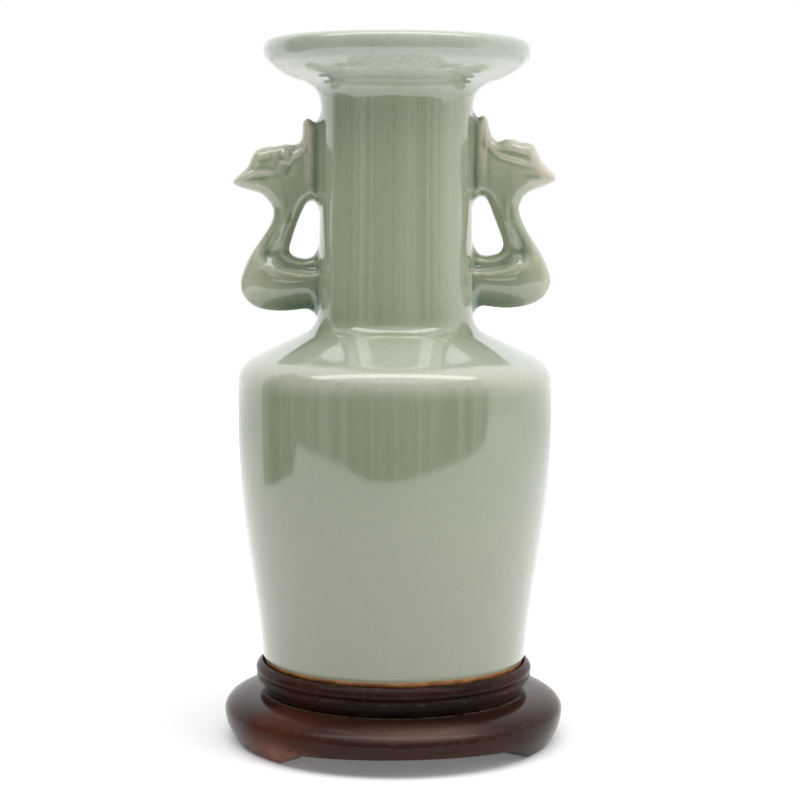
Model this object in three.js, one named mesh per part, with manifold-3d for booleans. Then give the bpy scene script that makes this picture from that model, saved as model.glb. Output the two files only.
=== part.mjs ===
// A mallet-shaped celadon vase with two moulded bird handles, standing in a turned hardwood stand.
// Millimetres, +Z up, origin on the vase's axis at the ground. The front of the vase looks along -Y.
// The vase is thrown in three sections that are joined with rings of slip. The handles are pressed in a
// mould and stuck to the neck on pads of slip. The stand is a seat ring with a floor board let into it,
// glued on a base ring whose apron and three bracket feet are carved from the turned blank.

import * as THREE from 'three';
import { mergeVertices } from 'three/addons/utils/BufferGeometryUtils.js';
import Module from 'manifold-3d';

// Vase body
const FOOT_RADIUS = 53.4;
const FOOT_HEIGHT = 7.6;
const FOOT_TAPER = 3.1;
const FOOT_RING_WIDTH = 6.5;
const FOOT_RECESS = 3.5;
const BASE_THICKNESS = 8;
const BODY_RADIUS = 63;
const BODY_RISE = 102.7;
const LOWER_WALL_RUN = 35;
const LOWER_WALL_SWELL = 3.4;
const UPPER_WALL_RUN = 50;
const SHOULDER_EDGE_RISE = 14.3;
const SHOULDER_EDGE_ROUND = 7.4;
const SHOULDER_RISE = 14.8;
const WALL = 5;

// Vase neck and mouth
const NECK_RADIUS = 30.2;
const NECK_SPREAD = 1;
const NECK_WALL = 4.8;
const NECK_RISE = 95.6;
const NECK_FOOT_ROUND = 5.9;
const MOUTH_ROUND = 8.8;
const DISH_RADIUS = 53;
const DISH_SLOPE_RISE = 8.2;
const DISH_START_RISE = 1.6;
const DISH_BELLY = 2.7;
const DISH_WALL = 5;
const LIP_HEIGHT = 9.8;
const LIP_THICKNESS = 5.2;
const LIP_LEAN = 1.6;

// Handles: each limb of the bird is a row of oval sections, from its root to its tip. A section runs from
// its outer edge, on the right of that way, to its inner edge. Each edge is [reach from the neck's surface,
// rise from the foot of the neck], and wide is half the section's width. Rises are drawn for DRAWN_NECK and
// stretch with the neck that carries the handle.
const DRAWN_NECK = 95.6;
const BREAST_SECTIONS = [
  { outer: [-4.2, 7.5], inner: [-4.2, 29.4], wide: 7.8 },
  { outer: [4.3, 7.4], inner: [4.3, 27.8], wide: 7.4 },
  { outer: [9.8, 6.8], inner: [8.8, 27.6], wide: 7.2 },
  { outer: [16.8, 6.5], inner: [11.1, 28.9], wide: 7 },
  { outer: [24.8, 8.2], inner: [12.3, 30.3], wide: 7 },
  { outer: [30.1, 11.6], inner: [12.8, 31.7], wide: 6.9 },
  { outer: [32.1, 17.4], inner: [12.9, 32.9], wide: 6.8 },
  { outer: [30.7, 22.9], inner: [12.4, 34.1], wide: 6.6 },
  { outer: [26.8, 28.9], inner: [11.4, 35.9], wide: 6.4 },
  { outer: [22.6, 35.1], inner: [9.7, 39.5], wide: 6.2 },
  { outer: [19.6, 40.9], inner: [8, 43.7], wide: 6 },
  { outer: [18.7, 45.9], inner: [6.3, 47.7], wide: 6 },
  { outer: [19.8, 53], inner: [3.3, 53], wide: 6.2 },
];
const HEAD_SECTIONS = [
  { outer: [-4.2, 50.9], inner: [-4.2, 76.9], wide: 5.6 },
  { outer: [2.8, 51.1], inner: [2.8, 75.5], wide: 5.8 },
  { outer: [9.3, 50.9], inner: [9.8, 72.7], wide: 6.1 },
  { outer: [15.3, 50.5], inner: [15.8, 71.9], wide: 6.3 },
  { outer: [20.3, 51.5], inner: [20.3, 71.2], wide: 6.3 },
  { outer: [23.4, 53.6], inner: [24, 70.6], wide: 6 },
  { outer: [26, 54.4], inner: [26.4, 68.9], wide: 5.4 },
  { outer: [28.6, 54.9], inner: [28.8, 65.2], wide: 4.4 },
  { outer: [31.2, 55.5], inner: [31.6, 61.6], wide: 3 },
  { outer: [33.9, 56.5], inner: [34.2, 58.8], wide: 1.2 },
];
const CREST_SECTIONS = [
  { outer: [9.4, 68.9], inner: [0.8, 68.9], wide: 5 },
  { outer: [7.8, 74.9], inner: [0.8, 75.4], wide: 4.4 },
  { outer: [7.6, 78.2], inner: [1.4, 78.9], wide: 3.8 },
  { outer: [7.2, 80.9], inner: [2.6, 81.3], wide: 2.8 },
  { outer: [6.1, 82.5], inner: [4.4, 82.7], wide: 1.3 },
];
const PAD_THICKNESS = 2.2;
const PAD_MARGIN = 1.2;
const UPPER_PAD_TOP = 81;
const UPPER_PAD_BOTTOM = 50.3;
const UPPER_PAD_WIDTH = 17;
const LOWER_PAD_TOP = 30;
const LOWER_PAD_BOTTOM = 6.8;
const LOWER_PAD_WIDTH = 19;
const RIGHT_HANDLE_LIFT = 1.2;

// Stand
const SEAT_CLEARANCE = 0.6;
const SEAT_DEPTH = 5.6;
const RIM_EDGE = 0.3;
const RIM_HEIGHT = 7.8;
const RIM_BEAD = 4.2;
const RIM_GROOVE = 1.8;
const RIM_GROOVE_HEIGHT = 0.8;
const RIM_FILLET = 2.5;
const RIM_FILLET_HEIGHT = 0.9;
const WAIST_HEIGHT = 4.9;
const WAIST_INSET = 0.8;
const LEDGE_WIDTH = 13;
const FLOOR_THICKNESS = 4.5;
const FLOOR_REBATE = 4;
const FLOOR_CLEARANCE = 0.3;
const BASE_HEIGHT = 19.8;
const BASE_SEAM_STEP = 1.6;
const BASE_OVERHANG = 14.5;
const BASE_WIDEST_HEIGHT = 12.4;
const BASE_SHOULDER_DROP = 1.6;
const BASE_SHOULDER_ROUND = 1;
const BASE_BEARING_WIDTH = 7;
const TOE_INSET = 4.3;
const TOE_DEPTH = 9.8;
const TOE_WIDTH = 22;
const TOE_OGEE_WIDTH = 13.5;
const TOE_COUNT = 3;
const TOE_BEARING = 66;
const APRON_HEIGHT = 6;
const APRON_ARCH = 1.5;

// Gap between a cut piece and its neighbour
const CUT_GAP = 0.3;

// Facets
const VASE_SIDES = 36;
const SEAT_SIDES = 48;
const BASE_SIDES = 72;
const LIMB_SIDES = 14;
const LIMB_STEPS = 14;
const WALL_STEPS = 9;
const EDGE_STEPS = 6;
const FILLET_STEPS = 8;
const NECK_STEPS = 8;
const DISH_STEPS = 7;
const LIP_STEPS = 4;
const BEAD_STEPS = 5;
const FACE_STEPS = 5;
const NECK_JOINT_STEPS = 3;
const MOUTH_JOINT_STEPS = 4;
const LUTING_STEPS = 1;
const SAME_CORNER = 1e-4;
const SHORTEST_EDGE = 0.06;

// Levels up the axis
const seatRingBottom = BASE_HEIGHT;
const rimBottom = seatRingBottom + WAIST_HEIGHT;
const rimTop = rimBottom + RIM_HEIGHT;
const seatLevel = rimTop - SEAT_DEPTH;
const footTop = seatLevel + FOOT_HEIGHT;
const bellyLevel = footTop + BODY_RISE;
const shoulderEdge = bellyLevel + SHOULDER_EDGE_RISE;
const neckFoot = shoulderEdge + SHOULDER_RISE;
const neckTop = neckFoot + NECK_RISE;
const dishEdge = neckTop + DISH_SLOPE_RISE;
const lipTop = dishEdge + LIP_HEIGHT;
const neckBore = NECK_RADIUS - NECK_WALL;

const celadon = { color: 0x93a28b, roughness: 0.18, metalness: 0 };
const slip = { color: 0x7f927c, roughness: 0.22, metalness: 0 };
const hardwood = { color: 0x3a1d18, roughness: 0.38, metalness: 0 };

const part = new THREE.Group();

function addPiece(name, geometry, look, group = part) {
  const mesh = new THREE.Mesh(geometry, new THREE.MeshStandardMaterial(look));
  mesh.name = name;
  group.add(mesh);
  return mesh;
}

// Bare positions with shared corners, so that the surface closes
function closed(geometry) {
  geometry.deleteAttribute('normal');
  geometry.deleteAttribute('uv');
  return mergeVertices(geometry, SAME_CORNER);
}

// A profile of (radius, height) points turned about the axis. Bearing 0 faces -Y and turns towards +X.
function turned(profile, sides, firstBearing = 0) {
  const lathe = new THREE.LatheGeometry(profile, sides, firstBearing);
  return closed(lathe.rotateX(Math.PI / 2));
}

function at(radius, height) {
  return new THREE.Vector2(radius, height);
}

function bend(start, corner, end, steps) {
  return new THREE.QuadraticBezierCurve(start, corner, end).getPoints(steps);
}

// Points moved sideways, to the left of the way that the line runs
function inset(points, distance) {
  return points.map((point, i) => {
    const before = points[Math.max(i - 1, 0)];
    const after = points[Math.min(i + 1, points.length - 1)];
    const way = after.clone().sub(before).normalize();
    return at(point.x - way.y * distance, point.y + way.x * distance);
  });
}

// A closed turned section: the outer line upwards, then the inner line downwards
function ringSection(outer, inner) {
  return [...outer, ...inner, outer[0].clone()];
}

// Outside of the body, from the foot up to the fillet of the neck
const shoulderSlope = SHOULDER_RISE / (BODY_RADIUS - NECK_RADIUS - NECK_SPREAD);
const shoulderAt = (radius) => neckFoot - (radius - NECK_RADIUS - NECK_SPREAD) * shoulderSlope;
const wallCurve = new THREE.CubicBezierCurve(
  at(FOOT_RADIUS, footTop),
  at(FOOT_RADIUS + LOWER_WALL_SWELL, footTop + LOWER_WALL_RUN),
  at(BODY_RADIUS, bellyLevel - UPPER_WALL_RUN),
  at(BODY_RADIUS, bellyLevel),
);
const wallOutside = [
  ...wallCurve.getPoints(WALL_STEPS),
  ...bend(
    at(BODY_RADIUS, shoulderEdge - SHOULDER_EDGE_ROUND),
    at(BODY_RADIUS, shoulderEdge),
    at(BODY_RADIUS - SHOULDER_EDGE_ROUND, shoulderAt(BODY_RADIUS - SHOULDER_EDGE_ROUND)),
    EDGE_STEPS,
  ),
];

// Outside of the neck: it spreads a little towards its foot
const neckStart = neckFoot + NECK_FOOT_ROUND;
const neckEnd = neckTop - MOUTH_ROUND;
function neckRadius(height) {
  const left = THREE.MathUtils.clamp((neckEnd - height) / (neckEnd - neckStart), 0, 1);
  return NECK_RADIUS + NECK_SPREAD * left * left;
}
const filletRadius = NECK_RADIUS + NECK_SPREAD + NECK_FOOT_ROUND;
const neckFootLine = bend(
  at(filletRadius, shoulderAt(filletRadius)),
  at(NECK_RADIUS + NECK_SPREAD, neckFoot),
  at(neckRadius(neckStart), neckStart),
  FILLET_STEPS,
);
const neckLine = [];
for (let i = 1; i <= NECK_STEPS; i += 1) {
  const height = THREE.MathUtils.lerp(neckStart, neckEnd, i / NECK_STEPS);
  neckLine.push(at(neckRadius(height), height));
}

// Outside of the mouth: fillet, underside of the dish, then the rounded lip
const mouthLine = bend(
  at(NECK_RADIUS, neckEnd),
  at(NECK_RADIUS, neckTop),
  at(NECK_RADIUS + MOUTH_ROUND, neckTop + DISH_START_RISE),
  FILLET_STEPS,
);
const lipMiddle = dishEdge + LIP_HEIGHT / 2;
const dishUnderside = bend(
  mouthLine[mouthLine.length - 1],
  at(DISH_RADIUS - LIP_LEAN, dishEdge - DISH_BELLY),
  at(DISH_RADIUS, lipMiddle),
  DISH_STEPS,
);
const lipTopLine = bend(
  at(DISH_RADIUS, lipMiddle),
  at(DISH_RADIUS - LIP_LEAN / 2, lipTop),
  at(DISH_RADIUS - LIP_LEAN - LIP_THICKNESS / 2, lipTop),
  LIP_STEPS,
);

// Where the three thrown sections meet, counted in steps along the fillets
const neckJointHigh = NECK_JOINT_STEPS + LUTING_STEPS;
const mouthJointHigh = MOUTH_JOINT_STEPS + LUTING_STEPS;

// Body section: foot ring, base, wall and shoulder
const footBottomRadius = FOOT_RADIUS - FOOT_TAPER;
const bodyOutside = [
  at(0, seatLevel + FOOT_RECESS),
  at(footBottomRadius - FOOT_RING_WIDTH - FOOT_RECESS / 2, seatLevel + FOOT_RECESS),
  at(footBottomRadius - FOOT_RING_WIDTH, seatLevel),
  at(footBottomRadius, seatLevel),
  ...wallOutside,
  ...neckFootLine.slice(0, NECK_JOINT_STEPS + 1),
];
const bodyTop = neckFootLine[NECK_JOINT_STEPS];
const bodyFloor = seatLevel + FOOT_RECESS + BASE_THICKNESS;
const cavityWall = inset(wallOutside, WALL).filter(
  (point) => point.x > neckBore + WALL && point.y > bodyFloor + WALL,
);
const bodyInside = [
  ...cavityWall,
  at(neckBore, bodyTop.y - WALL),
  at(neckBore, bodyTop.y),
].reverse();
const cavityLow = cavityWall[0];
const bodySection = [
  ...bodyOutside,
  ...bodyInside,
  at(cavityLow.x - WALL, bodyFloor),
  at(0, bodyFloor),
];
addPiece('body_section', turned(bodySection, VASE_SIDES), celadon);

// Slip ring between the shoulder and the neck, and its like under the mouth
function lutingRing(name, line) {
  const low = line[0];
  const high = line[line.length - 1];
  const section = ringSection(line, [at(neckBore, high.y), at(neckBore, low.y)]);
  addPiece(name, turned(section, VASE_SIDES), slip);
}
lutingRing('shoulder_luting_ring', neckFootLine.slice(NECK_JOINT_STEPS, neckJointHigh + 1));
lutingRing('mouth_luting_ring', mouthLine.slice(MOUTH_JOINT_STEPS, mouthJointHigh + 1));

// Neck section: a thrown tube
const neckOutside = [
  ...neckFootLine.slice(neckJointHigh),
  ...neckLine,
  ...mouthLine.slice(1, MOUTH_JOINT_STEPS + 1),
];
const neckLow = neckFootLine[neckJointHigh];
const neckHigh = mouthLine[MOUTH_JOINT_STEPS];
const neckSection = ringSection(neckOutside, [at(neckBore, neckHigh.y), at(neckBore, neckLow.y)]);
addPiece('neck_section', turned(neckSection, VASE_SIDES), celadon);

// Mouth dish with its upturned lip
const dishLow = mouthLine[mouthJointHigh];
const dishFloorEdge = DISH_RADIUS - LIP_LEAN - LIP_THICKNESS;
const dishInside = [
  ...bend(
    at(DISH_RADIUS - LIP_LEAN - LIP_THICKNESS / 2, lipTop),
    at(dishFloorEdge, lipTop),
    at(dishFloorEdge, lipMiddle),
    LIP_STEPS,
  ).slice(1),
  ...bend(
    at(dishFloorEdge, lipMiddle),
    at(dishFloorEdge - LIP_LEAN, dishEdge - DISH_BELLY + DISH_WALL),
    at(neckBore + MOUTH_ROUND, neckTop + DISH_WALL),
    LIP_STEPS,
  ).slice(1),
  at(neckBore, neckTop),
  at(neckBore, dishLow.y),
];
const dishOutside = [
  ...mouthLine.slice(mouthJointHigh),
  ...dishUnderside.slice(1),
  ...lipTopLine.slice(1),
];
addPiece('mouth_dish', turned(ringSection(dishOutside, dishInside), VASE_SIDES), celadon);

// Handles
const wasm = await Module();
wasm.setup();

function solid(geometry) {
  return new wasm.Manifold(new wasm.Mesh({
    numProp: 3,
    vertProperties: Float32Array.from(geometry.attributes.position.array),
    triVerts: Uint32Array.from(geometry.index.array),
  }));
}

// The cut surface again, with edges too short to matter drawn together
function surface(body) {
  const mesh = body.getMesh();
  const cut = new THREE.BufferGeometry();
  cut.setAttribute('position', new THREE.BufferAttribute(mesh.vertProperties, mesh.numProp));
  cut.setIndex(new THREE.BufferAttribute(mesh.triVerts, 1));
  const geometry = mergeVertices(cut, SHORTEST_EDGE);
  const faces = [];
  for (let i = 0; i < geometry.index.count; i += 3) {
    const face = geometry.index.array.slice(i, i + 3);
    if (new Set(face).size === 3) {
      faces.push(...face);
    }
  }
  geometry.setIndex(faces);
  return geometry;
}

// An oval tube through the sections, drawn on the +X side of the neck in the XZ plane
function limb(sections) {
  const stretch = NECK_RISE / DRAWN_NECK;
  const place = ([reach, rise]) => new THREE.Vector3(NECK_RADIUS + reach, 0, neckFoot + rise * stretch);
  const outerEdge = new THREE.CatmullRomCurve3(sections.map((section) => place(section.outer)));
  const innerEdge = new THREE.CatmullRomCurve3(sections.map((section) => place(section.inner)));
  const widths = new THREE.SplineCurve(sections.map((section, i) => new THREE.Vector2(i, section.wide)));
  const tube = new THREE.CylinderGeometry(1, 1, 1, LIMB_SIDES, LIMB_STEPS);
  const corners = tube.attributes.position;
  for (let i = 0; i < corners.count; i += 1) {
    const along = 0.5 - corners.getY(i);
    const share = (1 + corners.getX(i)) / 2;
    const corner = innerEdge.getPoint(along).lerp(outerEdge.getPoint(along), share);
    corners.setXYZ(i, corner.x, corners.getZ(i) * widths.getPoint(along).y, corner.z);
  }
  return solid(closed(tube));
}

// A sleeve round the neck between two distances from its surface
function sleeve(inner, outer) {
  const outline = [
    ...neckFootLine.slice(neckJointHigh),
    ...neckLine,
    ...mouthLine.slice(1, MOUTH_JOINT_STEPS),
  ];
  const outside = outline.map((point) => at(point.x + outer, point.y));
  const inside = outline.map((point) => at(point.x + inner, point.y)).reverse();
  return solid(turned(ringSection(outside, inside), VASE_SIDES));
}

// The neck and its pads take their room out of the handle
function neckRoom() {
  const reach = PAD_THICKNESS + 2 * CUT_GAP;
  const outline = [...neckFootLine, ...neckLine, ...mouthLine.slice(1, MOUTH_JOINT_STEPS)];
  const outside = outline.map((point) => at(point.x + reach, point.y));
  const low = outside[0];
  const high = outside[outside.length - 1];
  return solid(turned([at(0, low.y), ...outside, at(0, high.y)], VASE_SIDES));
}

// A rounded plug through the neck wall, which the sleeve trims to a pad
function padPlug(bottom, top, width) {
  const reaches = [-NECK_WALL, PAD_THICKNESS, PAD_THICKNESS + PAD_MARGIN];
  return limb(reaches.map((reach) => ({ outer: [reach, bottom], inner: [reach, top], wide: width / 2 })));
}

const padSleeve = sleeve(CUT_GAP, CUT_GAP + PAD_THICKNESS);
const handleBody = limb(BREAST_SECTIONS)
  .add(limb(HEAD_SECTIONS))
  .add(limb(CREST_SECTIONS))
  .subtract(neckRoom());
const upperPad = padPlug(UPPER_PAD_BOTTOM, UPPER_PAD_TOP, UPPER_PAD_WIDTH).intersect(padSleeve);
const lowerPad = padPlug(LOWER_PAD_BOTTOM, LOWER_PAD_TOP, LOWER_PAD_WIDTH).intersect(padSleeve);

for (const [side, turn, lift] of [['right', 0, RIGHT_HANDLE_LIFT], ['left', Math.PI, 0]]) {
  const group = new THREE.Group();
  group.rotation.z = turn;
  group.position.z = lift;
  part.add(group);
  addPiece(`${side}_handle`, surface(handleBody), celadon, group);
  addPiece(`${side}_upper_pad`, surface(upperPad), slip, group);
  addPiece(`${side}_lower_pad`, surface(lowerPad), slip, group);
}

// Seat ring: rim with its bead and fillet, waist below, and the ledge under the foot of the vase
const footAtRim = FOOT_RADIUS - FOOT_TAPER * (FOOT_HEIGHT - SEAT_DEPTH) / FOOT_HEIGHT;
const rimInside = footAtRim + SEAT_CLEARANCE;
const waistRadius = rimInside - WAIST_INSET;
const rimTip = rimInside + RIM_EDGE;
const grooveLevel = rimBottom + RIM_FILLET_HEIGHT + RIM_GROOVE_HEIGHT;
const rebateRadius = rimInside - LEDGE_WIDTH;
const seatOutside = [
  at(waistRadius, seatRingBottom),
  at(waistRadius, rimBottom),
  at(rimInside + RIM_FILLET, rimBottom),
  at(rimInside + RIM_FILLET, rimBottom + RIM_FILLET_HEIGHT),
  ...bend(
    at(rimInside + RIM_GROOVE, grooveLevel),
    at(rimInside + RIM_BEAD, (grooveLevel + rimTop) / 2),
    at(rimTip, rimTop),
    BEAD_STEPS,
  ),
];
const seatInside = [
  at(rimInside, rimTop - RIM_EDGE),
  at(rimInside, seatLevel),
  at(rebateRadius, seatLevel),
  at(rebateRadius, seatLevel - FLOOR_THICKNESS),
  at(rebateRadius - FLOOR_REBATE, seatLevel - FLOOR_THICKNESS),
  at(rebateRadius - FLOOR_REBATE, seatRingBottom),
];
addPiece('seat_ring', turned(ringSection(seatOutside, seatInside), SEAT_SIDES), hardwood);

// Floor board let into the seat ring
const floorRadius = rebateRadius - FLOOR_CLEARANCE;
const floorBoard = [
  at(0, seatLevel - FLOOR_THICKNESS),
  at(floorRadius, seatLevel - FLOOR_THICKNESS),
  at(floorRadius, seatLevel),
  at(0, seatLevel),
];
addPiece('floor_board', turned(floorBoard, SEAT_SIDES), hardwood);

// Base ring: below its widest turn the face curves in to the toes, and the apron is cut away between them
const seamRadius = waistRadius + BASE_SEAM_STEP;
const baseRadius = seamRadius + BASE_OVERHANG;
const toeRadius = baseRadius - TOE_INSET;
const baseBore = waistRadius - BASE_BEARING_WIDTH;
const heelRadius = toeRadius - TOE_DEPTH;
const faceRadius = (height) => baseRadius - TOE_INSET * (1 - height / BASE_WIDEST_HEIGHT) ** 2;

// Height of the lower edge at an angle from the middle of the nearest toe
function apronEdge(angle) {
  const toeAngle = TOE_WIDTH / 2 / toeRadius;
  const ogeeAngle = TOE_OGEE_WIDTH / toeRadius;
  const archAngle = Math.PI / TOE_COUNT - toeAngle - ogeeAngle;
  const ogee = THREE.MathUtils.smoothstep(angle, toeAngle, toeAngle + ogeeAngle);
  const past = THREE.MathUtils.clamp((angle - toeAngle - ogeeAngle) / archAngle, 0, 1);
  return APRON_HEIGHT * ogee + APRON_ARCH * Math.sin(past * Math.PI / 2);
}

const faceLine = [];
for (let i = 1; i <= FACE_STEPS; i += 1) {
  const height = BASE_WIDEST_HEIGHT * (1 - i / FACE_STEPS);
  faceLine.push(at(faceRadius(height), height));
}
const baseSection = [
  at(baseBore, BASE_HEIGHT),
  at(baseBore, BASE_WIDEST_HEIGHT),
  at(heelRadius, 0),
  ...faceLine.reverse(),
  ...bend(
    at(baseRadius, BASE_WIDEST_HEIGHT),
    at(baseRadius - BASE_SHOULDER_ROUND, BASE_HEIGHT - BASE_SHOULDER_DROP),
    at(seamRadius, BASE_HEIGHT),
    EDGE_STEPS,
  ),
  at(baseBore, BASE_HEIGHT),
];
const toeBearing = THREE.MathUtils.degToRad(TOE_BEARING);
const toeTurn = 2 * Math.PI / TOE_COUNT;
const baseRing = turned(baseSection, BASE_SIDES, toeBearing);
const baseCorners = baseRing.attributes.position;
for (let i = 0; i < baseCorners.count; i += 1) {
  const [x, y, height] = [baseCorners.getX(i), baseCorners.getY(i), baseCorners.getZ(i)];
  const radius = Math.hypot(x, y);
  const fromFirstToe = Math.atan2(x, -y) - toeBearing;
  const fromToe = Math.abs(fromFirstToe - toeTurn * Math.round(fromFirstToe / toeTurn));
  if (height < BASE_WIDEST_HEIGHT) {
    const raised = height + apronEdge(fromToe) * (1 - height / BASE_WIDEST_HEIGHT);
    const heelAt = THREE.MathUtils.lerp(heelRadius, baseBore, raised / BASE_WIDEST_HEIGHT);
    const onHeel = radius < toeRadius - TOE_DEPTH / 2;
    const moved = (onHeel ? heelAt : faceRadius(raised)) / radius;
    baseCorners.setXYZ(i, x * moved, y * moved, raised);
  }
}
addPiece('base_ring', baseRing, hardwood);

export default part;
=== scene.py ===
import math

import bpy
import numpy as np
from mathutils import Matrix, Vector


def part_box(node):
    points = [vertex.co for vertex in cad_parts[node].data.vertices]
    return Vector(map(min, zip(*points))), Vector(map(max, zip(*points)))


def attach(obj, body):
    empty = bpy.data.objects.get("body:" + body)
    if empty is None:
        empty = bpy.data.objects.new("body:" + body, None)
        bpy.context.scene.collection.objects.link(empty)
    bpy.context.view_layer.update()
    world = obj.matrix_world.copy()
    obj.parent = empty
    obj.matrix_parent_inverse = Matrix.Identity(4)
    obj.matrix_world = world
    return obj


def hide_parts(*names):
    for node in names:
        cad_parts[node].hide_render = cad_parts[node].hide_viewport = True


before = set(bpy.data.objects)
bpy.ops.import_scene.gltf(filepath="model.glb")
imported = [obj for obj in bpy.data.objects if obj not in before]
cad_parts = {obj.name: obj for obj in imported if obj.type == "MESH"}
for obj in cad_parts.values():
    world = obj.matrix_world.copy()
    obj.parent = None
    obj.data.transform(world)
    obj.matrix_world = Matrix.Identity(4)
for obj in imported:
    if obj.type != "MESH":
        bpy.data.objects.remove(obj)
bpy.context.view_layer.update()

# Base ring of the stand: a block of dark hardwood, turned to a rounded cushion and then sawn and
# carved away below, so that an arched apron and three bracket feet are left. The seat ring is
# glued on its flat top. The wood is stained, waxed and rubbed pale on its edges; that paleness also
# paints part of the edges' highlights, and a highlight is painted on the front of the base's crown.
MM = 0.001


class Wire:
    """One output of a node tree. Sums on it add Math nodes to that tree."""

    def __init__(self, tree, socket=None):
        self.tree = tree
        self.socket = socket

    def node(self, kind, settings=None, inputs=None, output=0):
        """Adds any node: its settings first, then the values or links of its sockets."""
        made = self.tree.nodes.new(kind)
        for name, value in (settings or {}).items():
            if name == "stops":
                missing = len(value) - len(made.color_ramp.elements)
                for _ in range(missing):
                    made.color_ramp.elements.new(1.0)
                for stop, (place, colour) in zip(made.color_ramp.elements, value):
                    stop.position = place
                    stop.color = (*colour, 1.0)
            else:
                setattr(made, name, value)
        for key, value in (inputs or {}).items():
            if isinstance(value, Wire):
                self.tree.links.new(value.socket, made.inputs[key])
            else:
                made.inputs[key].default_value = value
        return Wire(self.tree, made.outputs[output])

    def out(self, name):
        return Wire(self.tree, self.socket.node.outputs[name])

    def into(self, node, name):
        """Links this output to a socket of a node that is there already."""
        self.tree.links.new(self.socket, node.inputs[name])

    def math(self, operation, first, second=0.0):
        return self.node("ShaderNodeMath", {"operation": operation}, {0: first, 1: second})

    def __add__(self, other):
        return self.math("ADD", self, other)

    __radd__ = __add__

    def __sub__(self, other):
        return self.math("SUBTRACT", self, other)

    def __rsub__(self, other):
        return self.math("SUBTRACT", other, self)

    def __mul__(self, other):
        return self.math("MULTIPLY", self, other)

    __rmul__ = __mul__

    def __truediv__(self, other):
        return self.math("DIVIDE", self, other)

    def __rtruediv__(self, other):
        return self.math("DIVIDE", other, self)

    def __abs__(self):
        return self.math("ABSOLUTE", self)


def eased(value, low, high):
    """0 below low, 1 above high, and a smooth rise between them."""
    return value.node(
        "ShaderNodeMapRange",
        {"interpolation_type": "SMOOTHSTEP"},
        {"Value": value, "From Min": low, "From Max": high},
    )


def noise(place, scale, detail=3.0, stretch=None, seed=0.0):
    """Cloudy values from 0 to 1, with scale the number of clouds in a metre."""
    if stretch:
        place = place.node("ShaderNodeMapping", {}, {"Vector": place, "Scale": stretch})
    return place.node(
        "ShaderNodeTexNoise",
        {"noise_dimensions": "4D"},
        {"Vector": place, "W": seed, "Scale": scale, "Detail": detail},
    )


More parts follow.
